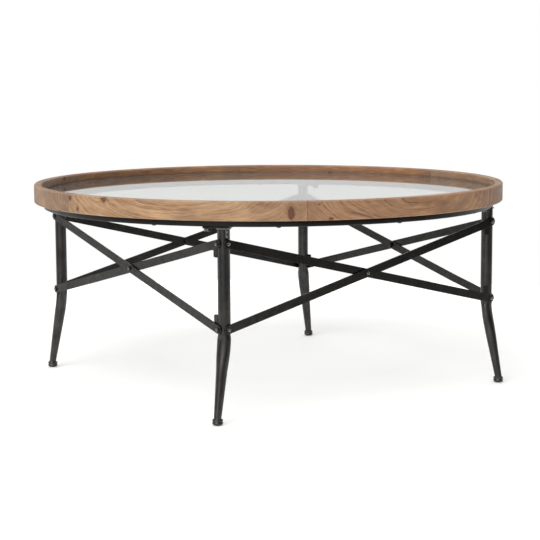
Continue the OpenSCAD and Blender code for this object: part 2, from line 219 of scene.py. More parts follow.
# Reclaimed pine, planed, sanded and waxed: the solid is filled with growth rings round the
# plank's pith, so each face shows the cut that it would, as level streaks, cathedral arches or
# steep lines. Wax gives it a dull sheen; age has browned it unevenly and softened the rings.
def pine(name, middle, pith, tilt, ring_gap, early, late, grey, knots, stains):
    # A Map Range takes a value, the two ends it has and the two it gets; a Mix has its colours at
    # the inputs 6 and 7 and the output 2
    material, tree, place = new_material(name)
    # In the plank's frame, in mm: X out of the board's middle, Y along the grain, Z up
    plank = add(tree, "ShaderNodeMapping", {
        "Vector": place, "Rotation": (0, 0, -radians(middle)), "Scale": (1000, 1000, 1000)})
    # The grain wanders by some 8 mm over a hand's length, and by 1 mm over a finger's. The
    # noises have a mean of a half, so half of what they add is taken off again for the pith.
    wander_by, ripple_by, ragged_y, ragged_z = 20, 3.6, 10, 7
    mean = (wander_by + ripple_by) / 2
    wander = patchy_noise(tree, plank, (70, 240, 70), 1.0, 0.45, "Color")
    bent = add(tree, "ShaderNodeVectorMath", [wander, (wander_by, 0, wander_by), plank],
               operation="MULTIPLY_ADD")
    ripple = patchy_noise(tree, plank, (16, 60, 16), 2.0, out="Color")
    rippled = add(tree, "ShaderNodeVectorMath", [ripple, (ripple_by, 0, ripple_by), bent],
                  operation="MULTIPLY_ADD")
    core = add(tree, "ShaderNodeMapping", {
        "Vector": rippled, "Location": (-pith[0] - mean, 0, -pith[1] - mean),
        "Rotation": (radians(tilt[0]), 0, radians(tilt[1]))})
    flat = add(tree, "ShaderNodeVectorMath", [core, (1, 0, 1)], operation="MULTIPLY")
    swing = add(tree, "ShaderNodeVectorMath", [flat], out="Value", operation="LENGTH")
    # Knots: along Y, height, radius and stretch; the rings swing round them, and they are ragged
    ragged = patchy_noise(tree, plank, (5, 4, 5), 3.0, 0.65, "Color")
    ragged = add(tree, "ShaderNodeVectorMath", [ragged, (0, ragged_y, ragged_z), rippled],
                 operation="MULTIPLY_ADD")
    nearest = None
    for y, z, r, stretch in knots:
        centre = (0, y + ragged_y / 2, z + ragged_z / 2 + mean)
        to_knot = add(tree, "ShaderNodeVectorMath", [ragged, centre], operation="SUBTRACT")
        in_radii = add(tree, "ShaderNodeVectorMath", [to_knot, (0, 1 / r / stretch, 1 / r)],
                       operation="MULTIPLY")
        away = add(tree, "ShaderNodeVectorMath", [in_radii], out="Value", operation="LENGTH")
        push = add(tree, "ShaderNodeMapRange", [away, 0.6, 4.0, 1.1 * r, 0.0],
                   interpolation_type="SMOOTHERSTEP")
        swing = add(tree, "ShaderNodeMath", [swing, push], operation="ADD")
        nearest = away if nearest is None else add(
            tree, "ShaderNodeMath", [nearest, away], operation="MINIMUM")
    # Years differ in width; each ends in a thin line of late wood that comes and goes
    uneven = add(tree, "ShaderNodeTexNoise", {"W": swing, "Scale": 1 / 9, "Detail": 2.0},
                 noise_dimensions="1D")
    uneven = add(tree, "ShaderNodeMath", [uneven, 4.0], operation="MULTIPLY")
    count = add(tree, "ShaderNodeMath", [swing, 1 / ring_gap, uneven], operation="MULTIPLY_ADD")
    in_year = add(tree, "ShaderNodeMath", [count], operation="FRACT")
    rise = add(tree, "ShaderNodeMapRange", [in_year, 0.3, 0.86, 0.0, 1.0],
               interpolation_type="SMOOTHSTEP")
    fall = add(tree, "ShaderNodeMapRange", [in_year, 0.86, 1.0, 1.0, 0.0])
    ring = add(tree, "ShaderNodeMath", [rise, fall], operation="MULTIPLY")
    year = add(tree, "ShaderNodeMath", [count], operation="FLOOR")
    luck = add(tree, "ShaderNodeTexWhiteNoise", {"W": year}, noise_dimensions="1D")
    luck = add(tree, "ShaderNodeMath", [luck, 0.7, 0.3], operation="MULTIPLY_ADD")
    ring = add(tree, "ShaderNodeMath", [ring, luck], operation="MULTIPLY")
    faded = patchy_noise(tree, bent, (14, 55, 14), 2.0)
    faded = add(tree, "ShaderNodeMapRange", [faded, 0.4, 0.62, 0.15, 1.0])
    late_share = add(tree, "ShaderNodeMath", [ring, faded], operation="MULTIPLY")
    wood = add(tree, "ShaderNodeMix", {0: late_share, 6: linear(early), 7: linear(late)}, out=2,
               data_type="RGBA")
    # With the rings run soft bands about 5 mm wide, and streaks of fibre 1 to 2 mm wide
    along = add(tree, "ShaderNodeSeparateXYZ", [bent], out="Y")
    with_rings = add(tree, "ShaderNodeCombineXYZ", [swing, along])
    band = patchy_noise(tree, with_rings, (5, 75, 1), 3.0, 0.6)
    band = add(tree, "ShaderNodeMapRange", [band, 0.3, 0.7, 0.76, 1.2])
    fibre = patchy_noise(tree, with_rings, (1.7, 22, 1), 4.0, 0.65)
    tone = add(tree, "ShaderNodeMapRange", [fibre, 0.3, 0.7, 0.8, 1.18])
    tone = add(tree, "ShaderNodeMath", [band, tone], operation="MULTIPLY")
    # Golden streaks where the resin is light, and reddish brown patches of heartwood
    gold = patchy_noise(tree, with_rings, (3.5, 46, 1), 2.0)
    gold = add(tree, "ShaderNodeMapRange", [gold, 0.56, 0.7, 0.0, 0.5])
    wood = add(tree, "ShaderNodeMix", {0: gold, 6: wood, 7: linear("#c79c6e")}, out=2,
               data_type="RGBA")
    heartwood = patchy_noise(tree, bent, (26, 90, 26), 3.0)
    heartwood = add(tree, "ShaderNodeMapRange", [heartwood, 0.42, 0.66, 0.0, 0.55])
    wood = add(tree, "ShaderNodeMix", {0: heartwood, 6: wood, 7: linear("#7d5439")}, out=2,
               data_type="RGBA")
    wood = add(tree, "ShaderNodeVectorMath", {0: wood, "Scale": tone}, operation="SCALE")
    # Layers go over the wood, some of them painted shade: first grey left by weather, in patches
    weather = patchy_noise(tree, plank, (24, 60, 24), 4.0, 0.65)
    weather = add(tree, "ShaderNodeMapRange", [weather, 0.38, 0.68, 0.0, grey])
    layers = [(weather, linear("#7b7168"))]
    # The steep grain at a board's ends has drunk more stain
    to_end = add(tree, "ShaderNodeMath", [along], operation="ABSOLUTE")
    to_end = add(tree, "ShaderNodeMapRange", [to_end, 200.0, 262.0, 0.0, 0.3],
                 interpolation_type="SMOOTHSTEP")
    layers.append((to_end, linear("#7a624b")))
    # Painted shade: the rebate under the glass is darkened as if shaded by the glass, and above
    # the glass the wall has a dark line, painted corner shade with some old wax: heights it fades
    # between, strength, distances from the axis it fades between, and colour
    level = add(tree, "ShaderNodeSeparateXYZ", [plank], out="Z")
    from_axis = add(tree, "ShaderNodeVectorMath", [plank, (1, 1, 0)], operation="MULTIPLY")
    from_axis = add(tree, "ShaderNodeVectorMath", [from_axis], out="Value", operation="LENGTH")
    for low, high, strength, inner, outer, shade in (
            (426.0, 428.0, 0.85, 511.0, 513.5, "#2e2520"),
            (430.5, 437.0, 0.5, 513.6, 515.0, "#3d2b20")):
        below = add(tree, "ShaderNodeMapRange", [level, low, high, strength, 0.0])
        within = add(tree, "ShaderNodeMapRange", [from_axis, inner, outer, 1.0, 0.0])
        both = add(tree, "ShaderNodeMath", [below, within], operation="MULTIPLY")
        layers.append((both, linear(shade)))
    # Stains: place along Y, width and strength
    for y, width, strength in stains:
        off = add(tree, "ShaderNodeSeparateXYZ", [ragged], out="Y")
        off = add(tree, "ShaderNodeMath", [off, y], operation="SUBTRACT")
        off = add(tree, "ShaderNodeMath", [off], operation="ABSOLUTE")
        stain = add(tree, "ShaderNodeMapRange", [off, width * 0.3, width, strength, 0.0])
        layers.append((stain, linear("#452d2a")))
    # Knots are brown inside a ragged dark rim, with a fine shake round them
    halo = add(tree, "ShaderNodeMapRange", [nearest, 1.0, 2.4, 0.35, 0.0],
               interpolation_type="SMOOTHSTEP")
    layers.append((halo, linear("#6d472f")))
    tight = add(tree, "ShaderNodeMath", [nearest, 2.6], operation="MULTIPLY")
    tight = add(tree, "ShaderNodeMath", [tight], operation="FRACT")
    tight = add(tree, "ShaderNodeMapRange", [tight, 0.0, 1.0, 0.0, 0.7])
    heart = add(tree, "ShaderNodeMix", {0: tight, 6: linear("#74462f"), 7: linear("#40241b")},
                out=2, data_type="RGBA")
    in_knot = add(tree, "ShaderNodeMapRange", [nearest, 0.8, 1.1, 0.95, 0.0])
    layers.append((in_knot, heart))
    rise = add(tree, "ShaderNodeMapRange", [nearest, 0.72, 0.95, 0.0, 0.9])
    fall = add(tree, "ShaderNodeMapRange", [nearest, 1.05, 1.35, 1.0, 0.0])
    rim_line = add(tree, "ShaderNodeMath", [rise, fall], operation="MULTIPLY")
    broken = patchy_noise(tree, plank, (4, 4, 4), 1.0)
    broken = add(tree, "ShaderNodeMapRange", [broken, 0.42, 0.58, 0.1, 1.0])
    rim_line = add(tree, "ShaderNodeMath", [rim_line, broken], operation="MULTIPLY")
    layers.append((rim_line, linear("#3b231b")))
    # Handled edges are rubbed lighter
    edge = add(tree, "ShaderNodeAttribute", out="Fac", attribute_name="edge")
    edge = add(tree, "ShaderNodeMath", [edge, 0.32], operation="MULTIPLY")
    layers.append((edge, linear("#c3a081")))
    for share, colour in layers:
        wood = add(tree, "ShaderNodeMix", {0: share, 6: wood, 7: colour}, out=2, data_type="RGBA")
    relief = add(tree, "ShaderNodeMath", [fibre, 0.6, late_share], operation="MULTIPLY_ADD")
    bump = add(tree, "ShaderNodeBump", {"Strength": 0.35, "Distance": 0.3 * MM, "Height": relief})
    dull = add(tree, "ShaderNodeMapRange", [fibre, 0.3, 0.7, 0.64, 0.5])
    shader = add(tree, "ShaderNodeBsdfPrincipled", {
        "Base Color": wood, "Roughness": dull, "Normal": bump, "IOR": 1.46})
    add(tree, "ShaderNodeOutputMaterial", {"Surface": shader})
    return material


# Each board's pith, out and up in mm, tilt of the grain, width of a year, early and late wood,
# share of grey, knots (angle from the middle, height, radius, stretch) and stains
BOARDS = [
    ((586, 464), (1.0, 1.5), 3.9, "#b08562", "#523120", 0.2,
     [(-24.9, 414.3, 2.4, 1.4), (23.7, 414.3, 3.0, 1.3), (-27.5, 441.0, 1.4, 1.3)],
     [(229.5, 4.5, 0.6)]),
    ((560, 520), (-1.5, -2.0), 3.6, "#a08064", "#62432c", 0.2, [(-12.0, 433.0, 3.0, 1.3)], []),
    ((480, 660), (1.0, 2.5), 3.4, "#9c6f4b", "#4e3425", 0.15, [(3.4, 433.8, 3.5, 1.2)], []),
    ((430, 560), (2.0, -3.5), 3.8, "#a27855", "#4c3527", 0.2, [(14.0, 420.0, 3.5, 1.3)], []),
    ((450, 440), (-1.0, 2.0), 3.2, "#99795c", "#634b37", 0.4,
     [(25.8, 414.1, 2.2, 1.3), (-26.0, 442.7, 3.5, 1.4)], []),
    ((596, 505), (0.5, -1.0), 3.8, "#b4906c", "#6f4d36", 0.05,
     [(-17.5, 446.3, 5.0, 1.2), (-26.4, 421.2, 4.3, 0.8), (-29.5, 438.4, 4.0, 1.2),
      (26.5, 428.8, 10.0, 0.55)], []),
]
rim_corners = [
    (LEDGE_R, RIM_Z, 0.8 * MM), (RIM_R, RIM_Z, 1.5 * MM), (RIM_R, RIM_TOP, 2.5 * MM),
    (POCKET_R, RIM_TOP, 2.5 * MM), (POCKET_R, LEDGE_Z, 0), (LEDGE_R, LEDGE_Z, 0.8 * MM)]
rim_section = outline(rim_corners, 2.5 * MM)
bent_board = sweep_tree("bent board", closed=False)
for i, (pith, tilt, gap, early, late, grey, knots, stains) in enumerate(BOARDS):
    first = SEAM_TURN + BOARD_ANGLE * i
    middle = first + BOARD_ANGLE / 2
    knots = [(RIM_R / MM * sin(radians(a)), z, r, stretch) for a, z, r, stretch in knots]
    finish = pine(f"reclaimed_pine_{i + 1}", middle, pith, tilt, gap, early, late, grey, knots,
                  stains)
    board = grown(
        f"pine_board_{i + 1}", section_mesh(rim_section, RIM_R), bent_board,
        radius=RIM_R, first_angle=radians(first + SEAM_GAP),
        sweep=radians(BOARD_ANGLE - 2 * SEAM_GAP), steps=190, wear=0.25 * MM,
        edge_wear=0.9 * MM, patch_size=0.022, seed=float(i), material=finish)
    close_up(board, bevel_caps=0.35 * MM)
    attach(board, "frame")
    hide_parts(f"rim_board_{i + 1}")

# Beech dowels stand hidden in the seams, glued across them. They stay as the CAD has them, in
# plain pale beech with a fine even grain along each dowel.
beech, tree, place = new_material("beech_dowel")
grain = add(tree, "ShaderNodeMapping", {"Vector": place, "Scale": (700, 700, 90)})
grain = add(tree, "ShaderNodeTexNoise", {"Vector": grain, "Scale": 1.0, "Detail": 3.0})
tan_wood = add(tree, "ShaderNodeMix", {0: grain, 6: linear("#d9b98e"), 7: linear("#b98f62")},
               out=2, data_type="RGBA")
shader = add(tree, "ShaderNodeBsdfPrincipled", {"Base Color": tan_wood, "Roughness": 0.6})
add(tree, "ShaderNodeOutputMaterial", {"Surface": shader})
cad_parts["rim_dowels"].data.materials.clear()
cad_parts["rim_dowels"].data.materials.append(beech)

# The top is a loose round sheet of 6 mm float glass that lies in the rim and lifts out. It is
# clear with a faint green, and its ground edge is hidden by the rim.
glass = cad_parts["glass_top"]
clear, tree, place = new_material("clear_float_glass")
# Wiping leaves a very faint haze, in patches of about 60 mm
haze = add(tree, "ShaderNodeTexNoise", {"Vector": place, "Scale": 1 / 0.06, "Detail": 3.0})
haze = add(tree, "ShaderNodeMapRange", {
    "Value": haze, "From Min": 0.3, "From Max": 0.8, "To Min": 0.0, "To Max": 0.006})
shader = add(tree, "ShaderNodeBsdfPrincipled", {
    "Base Color": linear("#f1f4ee"), "Roughness": haze, "IOR": 1.52, "Transmission Weight": 1.0,
    "Sheen Weight": 0.18, "Sheen Roughness": 0.4, "Sheen Tint": linear("#a4aaaa")})
add(tree, "ShaderNodeOutputMaterial", {"Surface": shader})
glass.data.materials.clear()
glass.data.materials.append(clear)
glass.visible_shadow = False
glass.visible_diffuse = False

# The ring under the rim is rolled from a flat rectangular steel tube, with its ends butt welded.
# It is sprayed with satin black enamel: deep black from in front, with a sheen that turns pale
# where the ring curves away.
RING_R, RING_IN = 0.509, 0.484
RING_Z = 0.397
enamel, tree, place = new_material("satin_black_enamel")
# Slow changes of tone about 40 mm long, and the orange peel of the spray, drawn 2 mm wide to show
patches = add(tree, "ShaderNodeTexNoise", {"Vector": place, "Scale": 1 / 0.04, "Detail": 3.0})
peel = add(tree, "ShaderNodeTexNoise", {"Vector": place, "Scale": 1 / 0.002, "Detail": 1.0})
black = add(tree, "ShaderNodeMix", {0: patches, 6: linear("#100f0e"), 7: linear("#1c1a19")},
            out=2, data_type="RGBA")
sheen = add(tree, "ShaderNodeMapRange", {
    "Value": patches, "From Min": 0.3, "From Max": 0.7, "To Min": 0.30, "To Max": 0.42})
bump = add(tree, "ShaderNodeBump", {"Strength": 0.2, "Distance": 0.05 * MM, "Height": peel})
shader = add(tree, "ShaderNodeBsdfPrincipled", {
    "Base Color": black, "Roughness": sheen, "Normal": bump, "Specular IOR Level": 0.3})
add(tree, "ShaderNodeOutputMaterial", {"Surface": shader})
ring_corners = [
    (RING_IN, RING_Z, 1.8 * MM), (RING_R, RING_Z, 1.8 * MM),
    (RING_R, RIM_Z, 1.8 * MM), (RING_IN, RIM_Z, 1.8 * MM)]
rolled_ring = grown(
    "rolled_ring", section_mesh(outline(ring_corners, 6 * MM), RING_R),
    sweep_tree("rolled ring", closed=True), radius=RING_R, steps=720, wear=0.2 * MM,
    edge_wear=0.2 * MM, patch_size=0.05, seed=9.0, material=enamel)
close_up(rolled_ring)
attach(rolled_ring, "frame")
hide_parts("ring_frame")

# Each leg is a steel tube of one inch that runs straight down past the braces. Below them it is
# pressed a little oval, bends outward and tapers to the foot. Its top is welded to the plate
# with a rippled bead, and a short run of weld goes on down one side.
LEG_R = 0.4965
TUBE_R = 0.0127
PLATE_Z = 0.394
LOFT_TOP, SWELL_FULL, SWELL_END, LOFT_BOTTOM = 0.18115, 0.16915, 0.10515, 0.010
LEAN, LEAN_TURN = 0.2004, radians(-17)
BEND_TOP, BEND_END = 0.200, 0.140
TOE_W, TAPER = 0.0152, 0.0104 / 0.128
SWELL_IN, SWELL_OUT = 2.8 * MM, 4 * MM
SIDES = ["front", "right", "back", "left"]


def skin(rings, loop=False):
    """Vertices and faces of a skin through rings of points, its ends capped or joined."""
    n, m = len(rings[0]), len(rings)
    faces = [(k * n + i, k * n + (i + 1) % n, (k + 1) % m * n + (i + 1) % n, (k + 1) % m * n + i)
             for k in range(m if loop else m - 1) for i in range(n)]
    if not loop:
        faces += [tuple(range(n)), tuple(range((m - 1) * n, m * n))]
    return [p for ring in rings for p in ring], faces


def solid(name, skins, material, sharp=40):
    """One mesh object of several skins, closed and smoothed, in its material."""
    verts, faces = [], []
    for more, sides in skins:
        faces += [[len(verts) + i for i in side] for side in sides]
        verts += more
    mesh = bpy.data.meshes.new(name)
    mesh.from_pydata([tuple(v) for v in verts], [], faces)
    mesh.materials.append(material)
    obj = bpy.data.objects.new(name, mesh)
    scene.collection.objects.link(obj)
    return close_up(obj, sharp)


def placed(skin_made, matrix):
    """The same skin moved by a matrix."""
    return [matrix @ Vector(v) for v in skin_made[0]], skin_made[1]


def blackened(name, shade, tint, roughness, grain, ground_and_highlight_from=0, wax=0.1, rubbed_and_glint=None):
    """Blackened steel under a film of wax: near black, with soft streaks of the grain's size.

    Sizes are in mm. It turns brighter above the height given, where scale was ground off and a
    highlight is painted, and takes the rubbed colour where the mesh says worn: rubbed wear with
    a painted highlight.
    """
    material, tree, place = new_material(name)
    in_mm = add(tree, "ShaderNodeMapping", {"Vector": place, "Scale": (1000, 1000, 1000)})
    # Clouds of darker and lighter oxide, about 30 mm across
    cloud = add(tree, "ShaderNodeTexNoise", {
        "Vector": in_mm, "Scale": 1 / 30, "Detail": 4.0, "Roughness": 0.6})
    streak = patchy_noise(tree, in_mm, grain, 3.0)
    # Grit of the scale, under 1 mm: too fine to show from afar
    grit = add(tree, "ShaderNodeTexNoise", {"Vector": in_mm, "Scale": 1.6, "Detail": 2.0})
    mottle = add(tree, "ShaderNodeMath", [cloud, streak], operation="ADD")
    amount = add(tree, "ShaderNodeMapRange", {"Value": mottle, "From Min": 0.7, "From Max": 1.3})
    if ground_and_highlight_from:
        # There the scale was ground off for the weld, in brushed patches, and a highlight is
        # painted
        height = add(tree, "ShaderNodeSeparateXYZ", [in_mm], out="Z")
        ground_and_highlight = add(tree, "ShaderNodeMapRange", {
            "Value": height, "From Min": ground_and_highlight_from - 25, "From Max": ground_and_highlight_from + 15, "To Min": 0.0,
            "To Max": 0.8})
        amount = add(tree, "ShaderNodeMath", [ground_and_highlight, cloud, amount],
                     operation="MULTIPLY_ADD")
    colour = add(tree, "ShaderNodeMix", {0: amount, 6: linear(shade), 7: linear(tint)},
                 out=2, data_type="RGBA", clamp_factor=False)
    if rubbed_and_glint:
        # Tools have rubbed the black off where the mesh says worn, and a highlight is painted
        # there
        worn = add(tree, "ShaderNodeAttribute", out="Fac", attribute_name="worn")
        colour = add(tree, "ShaderNodeMix", {0: worn, 6: colour, 7: linear(rubbed_and_glint)}, out=2,
                     data_type="RGBA")
    dull = add(tree, "ShaderNodeMapRange", {
        "Value": streak, "From Min": 0.3, "From Max": 0.7, "To Min": roughness + 0.08,
        "To Max": roughness - 0.08})
    height = add(tree, "ShaderNodeMath", [grit, 0.4, streak], operation="MULTIPLY_ADD")
    bump = add(tree, "ShaderNodeBump", {"Strength": 0.25, "Distance": 0.15 * MM, "Height": height})
    shader = add(tree, "ShaderNodeBsdfPrincipled", {
        "Base Color": colour, "Metallic": 1.0, "Roughness": dull, "Normal": bump,
        "Coat Weight": wax, "Coat Roughness": 0.15})
    add(tree, "ShaderNodeOutputMaterial", {"Surface": shader})
    return material


def at_leg(k):
    """Frame of leg k: X points out of the table and Y runs anticlockwise."""
    return Matrix.Rotation(radians(-90 + 90 * k), 4, "Z") @ Matrix.Translation((LEG_R, 0, 0))


def drift(z):
    """How far the leg's middle has moved outward at height z."""
    length = BEND_TOP - BEND_END
    u = max(0, min(1, (BEND_TOP - z) / length))
    return LEAN * (length * u * u / 2 + max(0, BEND_END - z))


def leg_ring(z, n=48):
    """Level oval round the leg at height z."""
    width = min(2 * TUBE_R, TOE_W + TAPER * (z - LOFT_BOTTOM))
    if z > SWELL_FULL:
        u = max(0, min(1, (LOFT_TOP - z) / (LOFT_TOP - SWELL_FULL)))
        swell = u * u * (3 - 2 * u)
    elif z > SWELL_END:
        swell = cos(pi / 2 * (SWELL_FULL - z) / (SWELL_FULL - SWELL_END))
    else:
        swell = 0
    along, across = (width - SWELL_IN * swell) / 2, (width + SWELL_OUT * swell) / 2
    points = []
    for i in range(n):
        a = 2 * pi * i / n
        u, v = drift(z) + along * cos(a), across * sin(a)
        points.append((u * cos(LEAN_TURN) - v * sin(LEAN_TURN),
                       u * sin(LEAN_TURN) + v * cos(LEAN_TURN), z))
    return points


def bead(path, radius, pitch, n=10):
    """Rings of a rippled weld bead along a path of (point, outward), its scales pitch apart."""
    rings, run = [], 0
    for k, (point, outward) in enumerate(path):
        ahead = path[min(k + 1, len(path) - 1)][0] - path[max(k - 1, 0)][0]
        if k:
            run += (point - path[k - 1][0]).length
        end = min(1, 0.25 + min(k, len(path) - 1 - k) / 3)
        r = radius * end * (0.7 + 0.3 * abs(sin(pi * run / pitch)))
        side = ahead.normalized().cross(outward)
        rings.append([point + outward * (r * 0.8 * cos(a)) + side * r * 1.2 * sin(a)
                      for a in [2 * pi * i / n for i in range(n)]])
    return rings


tube_steel = blackened("blackened_drawn_tube", "#333130", "#4d4b4a", 0.36, (3.5, 3.5, 120),
                       ground_and_highlight_from=356, rubbed_and_glint="#b3b1ac")
# Rings 10 mm apart down the straight part, and closer over the swell and the taper
levels = [PLATE_Z - 0.01 * k for k in range(22)]
levels += [LOFT_TOP - (LOFT_TOP - LOFT_BOTTOM) * k / 70 for k in range(71)]
# The weld's section fills the corner between tube and plate; its size swells with each scale
corner_weld = [(-0.3, 0), (1, 0), (0.9, -0.35), (0.62, -0.66), (0.3, -0.9), (0, -1), (-0.3, -0.9)]
WELD, SCALES = 3 * MM, 36
RUN_TURN, RUN_TOP, RUN_STEP = radians(40), 0.3925, 0.7 * MM
for k, side in enumerate(SIDES):
    round_top = []
    for i in range(144):
        a = 2 * pi * i / 144
        size = WELD * (0.78 + 0.22 * abs(sin(SCALES * a / 2 + 0.6 * sin(3 * a + k))))
        out = Vector((cos(a), sin(a), 0))
        round_top.append([out * TUBE_R + out * x * size + Vector((0, 0, PLATE_Z + z * size))
                          for x, z in corner_weld])
    outward = Vector((cos(RUN_TURN), sin(RUN_TURN), 0))
    run_down = [(outward * (TUBE_R - 0.4 * MM) + Vector((0, 0, RUN_TOP - RUN_STEP * j)), outward)
                for j in range(28)]
    skins = [skin([leg_ring(z) for z in levels]), skin(round_top, loop=True),
             skin(bead(run_down, 2.6 * MM, 9 * MM))]
    leg = solid(f"tube_leg_{side}", [placed(s, at_leg(k)) for s in skins], tube_steel)
    # The crests of the weld were brushed bright and carry a painted highlight, those under the
    # plate less
    axis = at_leg(k).translation
    worn = [max(0, hypot(v.co.x - axis.x, v.co.y - axis.y) - TUBE_R - 0.9 * MM) / (1.3 * MM)
            for v in leg.data.vertices]
    worn = [min(1, w) * (0.3 if v.co.z > 0.3905 else 1) if v.co.z > 0.36 else 0
            for v, w in zip(leg.data.vertices, worn)]
    leg.data.attributes.new("worn", "FLOAT", "POINT").data.foreach_set("value", worn)
    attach(leg, "frame")
    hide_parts(f"leg_{side}")

# The leg plates are sawn from 3 mm strip as wide as the tube, welded on the legs and bolted up to
# the ring. They reach clockwise along the ring, and their edges are ground round.
PLATE_T, PLATE_REACH, PLATE_ROUND = 3 * MM, 0.041, 3 * MM
GROUND = 0.4 * MM
bar_steel = blackened("blackened_hot_rolled_bar", "#292827", "#3a3836", 0.38, (12, 12, 12))


def plate(x0, y0, x1, y1, roundness, thickness, matrix):
    """A flat oblong plate with ground edges: outline in X and Y, thickness along Z."""
    corners = ((x0, y0), (x1, y0), (x1, y1), (x0, y1))
    points = outline([(x, y, roundness) for x, y in corners], 6 * MM)
    centre = Vector((sum(p[0] for p in points), sum(p[1] for p in points))) / len(points)
    inner = [Vector(p[:2]) + (centre - Vector(p[:2])).normalized() * GROUND * 1.3 for p in points]
    rings = [[(*p, 0) for p in inner], [(x, y, GROUND) for x, y, _ in points],
             [(x, y, thickness - GROUND) for x, y, _ in points],
             [(*p, thickness) for p in inner]]
    return placed(skin(rings), matrix)


for k, side in enumerate(SIDES):
    strip = plate(-TUBE_R, -PLATE_REACH, TUBE_R, TUBE_R, PLATE_ROUND, PLATE_T,
                  at_leg(k) @ Matrix.Translation((0, 0, PLATE_Z)))
    leg_plate = solid(f"welded_plate_{side}", [strip], bar_steel, sharp=30)
    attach(leg_plate, "frame")
    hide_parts(f"leg_plate_{side}")

# Two upright tabs are welded beside each leg, clockwise from it, and lie flush behind the ends
# of the bars. Their corners are rounded, and a bead joins them to the tube.
TAB_X, TAB_T, TAB_ROUND = 0.0082, 4.5 * MM, 2.5 * MM
TAB_FAR, TAB_NEAR = -0.0185, -0.005
TAB_LEVELS = ((0.3345, 0.3685), (0.185, 0.219))
# The bead starts and ends 3 mm from the tab's ends, where its back meets the tube
WELD_INSET = 3 * MM
weld_y = -sqrt(TUBE_R ** 2 - TAB_X ** 2)
weld_out = Vector((-0.5, -0.85, 0))
for k, side in enumerate(SIDES):
    turned_in = at_leg(k) @ Matrix.Rotation(radians(-45), 4, "Z")
    # Outline in Y and Z, thickness along X
    stand = turned_in @ Matrix(((0, 0, 1, TAB_X), (1, 0, 0, 0), (0, 1, 0, 0), (0, 0, 0, 1)))
    skins = []
    for low, high in TAB_LEVELS:
        skins.append(plate(TAB_FAR, low, TAB_NEAR, high, TAB_ROUND, TAB_T, stand))
        length = high - low - 2 * WELD_INSET
        run = [(Vector((TAB_X, weld_y, low + WELD_INSET + length * j / 30)), weld_out)
               for j in range(31)]
        skins.append(placed(skin(bead(run, 1.6 * MM, 4 * MM)), turned_in))
    tabs = solid(f"brace_tabs_{side}", skins, bar_steel, sharp=30)
    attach(tabs, "frame")
    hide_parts(f"tabs_{side}")

# Each foot is a turned steel button that the toe of the leg stands in: a small pad, a round
# bulge above it, a groove and a rim as wide as the bulge, and a short collar round the toe.
FOOT_H = 13.8
TOE = Vector((drift(FOOT_H * MM) * cos(LEAN_TURN), drift(FOOT_H * MM) * sin(LEAN_TURN), 0))
# Radius and height in mm
bulge = [(7.65 + 3.4 * cos(radians(a)), 5 + 3.9 * sin(radians(a))) for a in range(-75, 46, 12)]
foot_profile = [
    (0.1, 0), (5.2, 0), (6, 0.4), (6.6, 1), *bulge, (10.1, 8.4), (10.8, 8.7), (11.05, 9.4),
    (11.05, 10.8), (10.8, 11.7), (10, 12.3), (9.2, 12.5), (9, 12.8), (8.9, 13.4), (8.3, FOOT_H),
    (0.1, FOOT_H)]
foot_steel = blackened("blackened_turned_steel", "#343332", "#504f4e", 0.22, (4, 4, 0.6))
for k, side in enumerate(SIDES):
    rings = [[(r * MM * cos(a), r * MM * sin(a), z * MM)
              for a in [2 * pi * i / 48 for i in range(48)]] for r, z in foot_profile]
    foot = solid(f"turned_foot_{side}", [placed(skin(rings), at_leg(k) @ Matrix.Translation(TOE))],
                 foot_steel, sharp=50)
    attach(foot, "frame")
    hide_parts(f"foot_{side}")

# Eight flat bars with round ends tie the legs in four crosses. In each cross one bar is straight
# and the other is sprung back by its own thickness a hand's width from its bolts, to pass behind.
FACE_R = 0.363783
BRACE_MID = 0.27675
BAR_W, BAR_T = 0.0177, 0.0035
HALF_BAR = 0.3615
TILT = radians(13.80)
SET_FROM, SET_LEN = 0.024, 0.110
BAR_EDGE, END_RUN = 0.45 * MM, 4 * MM


def bar_rings(sprung):
    """Rings of eight points along a bar: length in Y, width in Z, thickness in X from 0."""
    c, straight = BAR_EDGE, HALF_BAR - END_RUN
    stations = [(-1, radians(a)) for a in (90, 80, 65, 50, 35, 20, 0)]
    stations += [(0, -straight + 2 * straight * j / 180) for j in range(181)]
    stations += [(1, radians(a)) for a in (0, 20, 35, 50, 65, 80, 90)]
    rings = []
    for end, s in stations:
        points = []
        for inset in (c, 0):
            r = BAR_W / 2 - inset
            points.append((end * (HALF_BAR + r * sin(s)), r * cos(s)) if end else (s, r))
        (y_in, h_in), (y_out, h_out) = points
        set_back = 0
        if sprung:
            u = max(0, min(1, (HALF_BAR - SET_FROM - abs(y_out)) / SET_LEN))
            set_back = -BAR_T * u * u * (3 - 2 * u)
        rings.append([(x + set_back, y, z) for x, y, z in (
            (0, y_in, -h_in), (c, y_out, -h_out), (BAR_T - c, y_out, -h_out), (BAR_T, y_in, -h_in),
            (BAR_T, y_in, h_in), (BAR_T - c, y_out, h_out), (c, y_out, h_out), (0, y_in, h_in))])
    return rings


for name, face, outer_dir in (("front_right", 0, 1), ("back_right", 1, -1),
                              ("back_left", 2, -1), ("front_left", 3, -1)):
    for kind, lean_dir in (("outer", outer_dir), ("inner", -outer_dir)):
        stand = (Matrix.Rotation(radians(-45 + 90 * face), 4, "Z")
                 @ Matrix.Translation((FACE_R, 0, BRACE_MID))
                 @ Matrix.Rotation(lean_dir * TILT, 4, "X"))
        bar = solid(f"flat_bar_{name}_{kind}", [placed(skin(bar_rings(kind == "inner")), stand)],
                    bar_steel, sharp=30)
        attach(bar, "frame")
        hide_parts(f"brace_{name}_{kind}")

# The fasteners are black oxide hardware: button heads with a hexagon socket at the legs and the
# crossings, hexagon nuts behind the crossings, hexagon bolts and washers under the plates, and
# pan head screws up through the ring. Each kind repeats in rows round the table.
BRACE_LOW, BRACE_TOP = 0.1905, 0.363
BOLT_GAP = 0.70216
# A plate bolt's place beside its leg, and its washer
PLATE_BOLT, WASHER_T = -0.033, 1.6 * MM
SCREW_TURN = SEAM_TURN + 24
